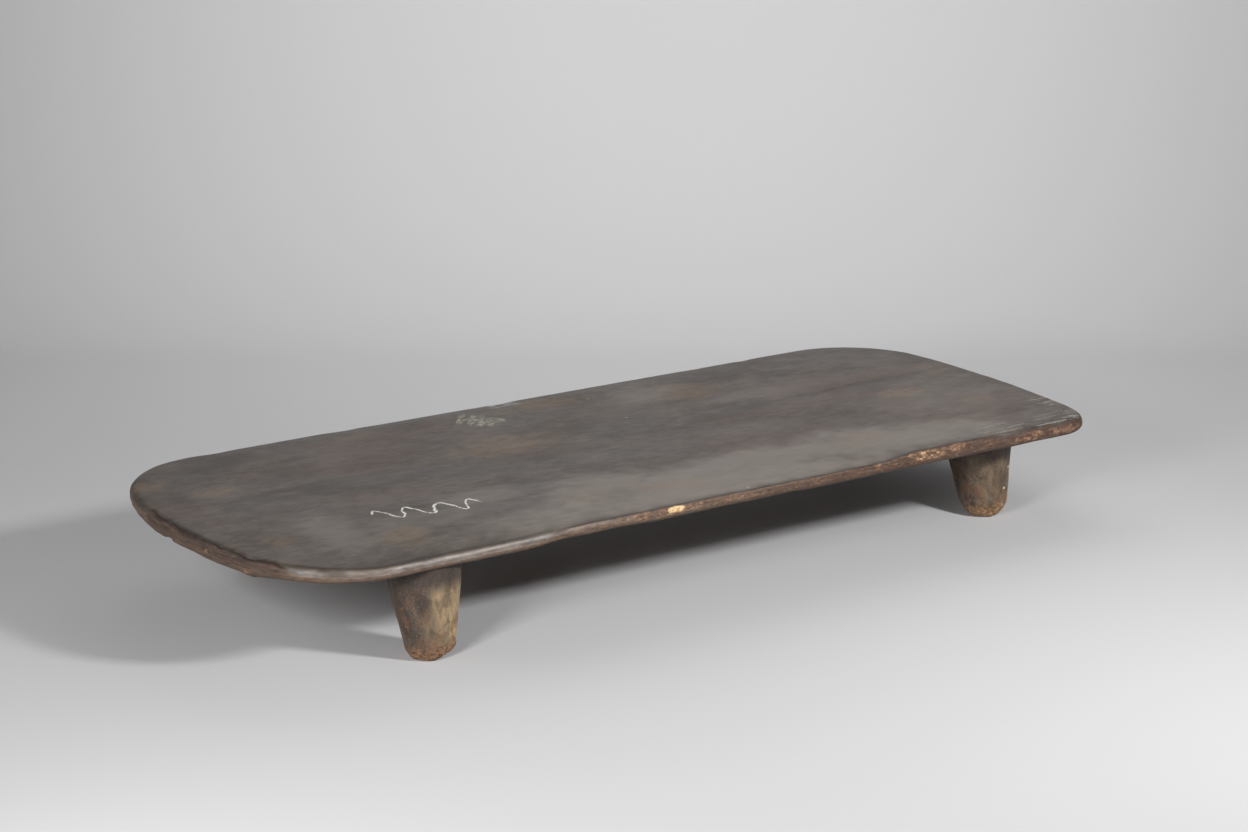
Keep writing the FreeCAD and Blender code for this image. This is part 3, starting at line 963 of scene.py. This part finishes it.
def edge_colour(s, grit):
    """Brown mottled side, redder to the right, darker towards the top of the ragged end, tan or
    cream in chips, and darker towards the underside as painted shade.
    """
    blot = s.noise((0.045, 0.040, 0.012), 9, 4, 0.62, 0.5)
    streak = s.noise((0.050, 0.050, 0.0030), 13, 3, 0.6, 0.6)
    crumb = s.noise((0.0100, 0.0100, 0.0036), 27, 3, 0.7)
    bark = s.mix(s.ramp(grit, 0.34, 0.68), "bark dark", "bark light")
    bark = s.mix(s.ramp(streak, 0.40, 0.62, 0.0, 0.50), bark, "bark streak")
    bark = s.mix(s.ramp(blot, 0.46, 0.66, 0.0, 0.55), bark, "bark blot")
    reddish = s.times(s.ramp(s.xyz["X"], -0.30, 0.45), s.ramp(streak, 0.62, 0.42, 0.50, 0.95))
    bark = s.mix(reddish, bark, "bark red")
    ragged = s.mask("ragged")
    # The ragged end is darker, most of all towards its top.
    ragged_end_dark = s.times(ragged, s.ramp(s.plus(streak, blot), 0.80, 1.20, 0.95, 0.50))
    ragged_end_dark = s.times(ragged_end_dark, s.ramp(s.xyz["Z"], 0.196, 0.212, 0.55, 1.0))
    bark = s.mix(ragged_end_dark, bark, "bark charred")
    tan = s.mix(s.ramp(grit, 0.36, 0.66), "chip dark", "chip light")
    cream = s.mix(s.ramp(crumb, 0.38, 0.60), "cream dark", "cream light")
    bare = s.mask("bare")
    broken = s.ramp(s.plus(s.times(bare, 0.7), s.times(s.plus(grit, crumb), 0.4)), 0.48, 0.84)
    gaps = s.ramp(s.noise((0.020, 0.020, 0.010), 29, 3, 0.6), 0.38, 0.56, 0.35, 1.0)
    broken = s.times(broken, gaps)
    bark = s.mix(s.times(broken, s.ramp(bare, 0.05, 0.7, 0.0, 0.85)), bark, tan)
    smooth = s.plus(s.times(ragged, 0.8), s.times(s.mask("calm"), 0.6))
    crumbly = s.math("SUBTRACT", 1.0, smooth)
    bark = s.mix(s.times(crumbly, s.ramp(crumb, 0.55, 0.70, 0.0, 0.34)), bark, "edge crumb pale")
    bark = s.mix(s.times(crumbly, s.ramp(crumb, 0.46, 0.32, 0.0, 0.55)), bark, "edge crumb dark")
    pale = s.ramp(s.plus(bare, s.times(s.plus(grit, crumb), 0.45)), 1.12, 1.36)
    bark = s.mix(pale, bark, cream)
    # Darker towards the underside: painted shade.
    return s.mix(s.times(s.mask("under"), 0.6), bark, "underside")


def slab_material():
    """Dark, rubbed patina on top; rougher brown wood, bare in places, round the edge. The bead's
    lighter colour is partly polish and partly painted highlight, and painted shade runs along the
    rim.
    """
    s = Shader("slab_wood")
    side, crack_and_rim_shade, polish_and_highlight = s.mask("side"), s.mask("crack_and_rim_shade"), s.mask("polish_and_highlight")
    fine = s.noise((0.050, 0.0045, 0.02), 3, 3, 0.65)
    grit = s.noise((0.012, 0.010, 0.007), 8, 4, 0.66)

    base = s.mix(side, top_colour(s, fine), edge_colour(s, grit))
    # A lighter bead along the polished edge: partly polish, partly painted highlight.
    rubbed_and_lit = s.ramp(s.noise((0.030, 0.030, 0.006), 28, 4, 0.7), 0.34, 0.62, 0.35, 0.9)
    rubbed_and_lit = s.times(rubbed_and_lit, s.ramp(s.noise((0.11, 0.11, 0.05), 33, 3, 0.6), 0.38, 0.54, 0.25, 1.0))
    base = s.mix(s.times(polish_and_highlight, rubbed_and_lit), base, "polished bead")
    # Darkens the ragged end's crack, and paints shade along the rim.
    base = s.mix(s.times(crack_and_rim_shade, 0.85), base, "crack_and_rim_shade")

    shine = s.ramp(s.noise((0.24, 0.11, 0.2), 10, 4, 0.6), 0.35, 0.68, 0.43, 0.53)
    shine = s.plus(shine, s.ramp(fine, 0.3, 0.8, 0.0, 0.08))
    shine = s.math("SUBTRACT", shine, s.times(s.mask("satin_and_painted_sheen"), 0.05))
    rough = s.blend(side, shine, s.ramp(grit, 0.3, 0.7, 0.58, 0.85))
    rough = s.blend(polish_and_highlight, rough, s.ramp(grit, 0.3, 0.7, 0.40, 0.54))
    mottle = s.noise((0.026, 0.018, 0.02), 12, 4, 0.6)
    normal = s.bump(s.plus(fine, s.times(mottle, 1.6)), 0.32 * MM)
    normal = s.bump(s.times(grit, side), 1.1 * MM, normal)
    return s.finish(base, rough, normal)


def leg_material():
    """Dark at the root, as painted shade under the slab; rubbed and rusty on the shaft, its pale
    side partly painted light; pitted, bare and flecked near the sole.
    """
    s = Shader("leg_wood")
    height = s.xyz["Z"]
    patchy = s.noise((0.034, 0.034, 0.055), 22, 5, 0.65, 0.5)
    rust = s.noise((0.020, 0.020, 0.034), 26, 5, 0.70, 0.4)
    grain = s.noise((0.006, 0.006, 0.060), 21, 3, 0.6, 0.2)
    grit = s.noise((0.007, 0.007, 0.006), 23, 4, 0.7)
    crumb = s.noise((0.0050, 0.0050, 0.0030), 24, 3, 0.75)
    base = s.mix(s.ramp(patchy, 0.36, 0.66), "leg dark", "leg light")
    base = s.mix(s.ramp(grain, 0.4, 0.75, 0.0, 0.22), base, "leg grain")
    # The pale side: rubbed wood, and painted light facing the key lamp.
    rubbed_and_lit = s.times(s.mask("rubbed_and_lit"), s.ramp(patchy, 0.36, 0.58, 0.35, 1.0))
    base = s.mix(s.times(rubbed_and_lit, 0.88), base, "leg rubbed")
    rusty = s.times(s.ramp(rust, 0.46, 0.60), s.ramp(height, 0.15, 0.06, 0.2, 1.0))
    base = s.mix(s.times(rusty, 0.60), base, "leg rust")
    base = s.mix(s.ramp(crumb, 0.56, 0.68, 0.0, 0.30), base, "leg crumb pale")
    base = s.mix(s.ramp(crumb, 0.44, 0.32, 0.0, 0.40), base, "leg crumb dark")
    # Darker towards the root: painted shade under the slab.
    dark = s.plus(s.ramp(height, 0.11, 0.19), s.times(patchy, 0.25))
    base = s.mix(s.times(s.ramp(dark, 0.2, 1.1), 0.6), base, "leg root")

    foot = s.mix(s.ramp(grit, 0.36, 0.64), "foot dark", "foot light")
    ochre = s.mix(s.ramp(grit, 0.34, 0.62), "golden foot dark", "golden foot light")
    foot = s.mix(s.mask("golden"), foot, ochre)
    foot = s.mix(s.ramp(crumb, 0.54, 0.68, 0.0, 0.65), foot, "foot crumb pale")
    foot = s.mix(s.ramp(crumb, 0.46, 0.32, 0.0, 0.70), foot, "foot crumb dark")
    worn = s.ramp(s.plus(s.mask("foot"), s.times(s.plus(rust, patchy), 0.5)), 0.50, 1.35)
    base = s.mix(s.times(worn, 0.9), base, foot)
    base = s.mix(s.times(s.mask("pits"), 0.6), base, "pit")
    flecks = s.times(s.spots((0.024, 0.024, 0.017), 25, 0.21), s.ramp(height, 0.14, 0.12))
    flecks = s.times(flecks, s.ramp(s.xyz["X"], 0.790, 0.800))
    flecks = s.times(flecks, s.ramp(s.xyz["Y"], -0.240, -0.256))
    base = s.mix(s.times(flecks, 0.9), base, "leg fleck")
    rough = s.ramp(grit, 0.3, 0.7, 0.46, 0.74)
    normal = s.bump(s.plus(grain, patchy), 0.5 * MM)
    normal = s.bump(s.plus(grit, crumb), 0.7 * MM, normal)
    return s.finish(base, rough, normal)


# ---------------------------------------------------------------- assembly


def add_piece(name, node, build, material):
    verts, faces, masks = build
    mesh = bpy.data.meshes.new(name)
    mesh.from_pydata(verts.tolist(), [], faces)
    mesh.shade_smooth()
    for mask, values in masks.items():
        layer = mesh.attributes.new(mask, "FLOAT", "POINT")
        layer.data.foreach_set("value", values.astype(np.float32))
    mesh.materials.append(material)
    piece = bpy.data.objects.new(name, mesh)
    bpy.context.scene.collection.objects.link(piece)
    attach(piece, "root")
    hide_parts(node)


add_piece("carved_slab", "slab", slab_mesh(), slab_material())
wood = leg_material()
for leg in LEG_SHAPES:
    add_piece(leg.replace("leg", "carved_leg"), leg, leg_mesh(leg), wood)

# ---------------------------------------------------------------- studio

# The camera: its bearing and height angle as seen from the bed, its place and its focal length.
AZIMUTH, ELEVATION = radians(-34.32), radians(15.68)
CAMERA_PLACE, CAMERA_LENS = (-3.128, -4.6155, 1.846), 80.8
AWAY = Vector((-sin(AZIMUTH), cos(AZIMUTH), 0))
ACROSS = Vector((cos(AZIMUTH), sin(AZIMUTH), 0))

# The backdrop's section: the floor's near end, where it turns up, the turn's radius and steps, and
# the wall's height; then half the sheet's width, and the paper's finish.
FLOOR_START, TURN_START, TURN_RADIUS, TURN_STEPS, WALL_TOP = -9.0, 1.55, 0.9, 25, 5.0
STAGE_HALF_WIDTH = 9.0
PAPER_ROUGHNESS, PAPER_SPECULAR, FIBRE_DEPTH = 0.9, 0.2, 0.02 * MM

# Strength of the plain white world: as light on the scene, and as seen past the backdrop.
WORLD_LIGHT, WORLD_SEEN = 0.01, 0.45

# Softboxes: azimuth from the camera's, elevation (degrees), distance, size (m), power (W), aim.
SOFTBOXES = {
    "key": (54, 33, 3.2, (0.4, 0.4), 88, (-0.45, 0.81, 1.41)),
    "fill": (-25, 22, 3.2, (0.8, 0.8), 65, (1.38, -1.13, 1.51)),
    "side_fill": (-75, 22, 3.2, (1.6, 1.6), 18, (0, 0, 0)),
    "wash": (180, 56, 2.7, (3.0, 1.0), 24.5, (1.94, 2.32, 0)),
}


def direction(azimuth, elevation):
    """Unit vector towards an azimuth, from -Y towards +X, and an elevation, both in radians."""
    return Vector((sin(azimuth) * cos(elevation), -cos(azimuth) * cos(elevation), sin(elevation)))


def add_camera():
    data = bpy.data.cameras.new("camera")
    data.lens = CAMERA_LENS
    camera = bpy.data.objects.new("camera", data)
    bpy.context.scene.collection.objects.link(camera)
    camera.location = CAMERA_PLACE
    camera.rotation_euler = direction(AZIMUTH, ELEVATION).to_track_quat("Z", "Y").to_euler()
    bpy.context.scene.camera = camera


def add_stage():
    """A seamless sheet: floor, then a quarter-round sweep up into a wall, square to the camera."""
    profile = [(FLOOR_START, 0.0)]
    for angle in np.linspace(0, pi / 2, TURN_STEPS):
        profile.append((TURN_START + TURN_RADIUS * sin(angle), TURN_RADIUS * (1 - cos(angle))))
    profile.append((TURN_START + TURN_RADIUS, WALL_TOP))
    verts = []
    for reach, height in profile:
        for side in (-STAGE_HALF_WIDTH, STAGE_HALF_WIDTH):
            place = AWAY * reach + ACROSS * side
            verts.append((place.x, place.y, height))
    faces = [(2 * i, 2 * i + 1, 2 * i + 3, 2 * i + 2) for i in range(len(profile) - 1)]
    mesh = bpy.data.meshes.new("backdrop")
    mesh.from_pydata(verts, [], faces)
    mesh.shade_smooth()
    s = Shader("paper")
    normal = s.bump(s.noise((0.01, 0.01, 0.01), 90), FIBRE_DEPTH)
    mesh.materials.append(s.finish(tone("paper"), PAPER_ROUGHNESS, normal, PAPER_SPECULAR))
    s.see_through_back()
    stage = bpy.data.objects.new("backdrop", mesh)
    bpy.context.scene.collection.objects.link(stage)


def add_softbox(name, azimuth, elevation, distance, size, power, aim):
    """A rectangular area light that faces a point. Its azimuth is counted from the camera's."""
    data = bpy.data.lights.new(name, "AREA")
    data.shape = "RECTANGLE"
    data.size, data.size_y = size
    data.energy = power
    light = bpy.data.objects.new(name, data)
    bpy.context.scene.collection.objects.link(light)
    light.location = direction(AZIMUTH + radians(azimuth), radians(elevation)) * distance
    light.rotation_euler = (light.location - Vector(aim)).to_track_quat("Z", "Y").to_euler()


def add_world():
    """A plain white world that barely lights the scene but is pale where the camera sees it."""
    world = bpy.data.worlds.new("studio")
    bpy.context.scene.world = world
    world.use_nodes = True
    tree = world.node_tree
    background = tree.nodes["Background"].inputs
    background["Color"].default_value = (1, 1, 1, 1)
    strength = tree.nodes.new("ShaderNodeMapRange")
    strength.inputs["To Min"].default_value = WORLD_LIGHT
    strength.inputs["To Max"].default_value = WORLD_SEEN
    seen = tree.nodes.new("ShaderNodeLightPath").outputs["Is Camera Ray"]
    tree.links.new(seen, strength.inputs["Value"])
    tree.links.new(strength.outputs["Result"], background["Strength"])


add_camera()
add_stage()
add_world()
for box_name, settings in SOFTBOXES.items():
    add_softbox(box_name, *settings)
bpy.context.scene.view_settings.view_transform = "Standard"
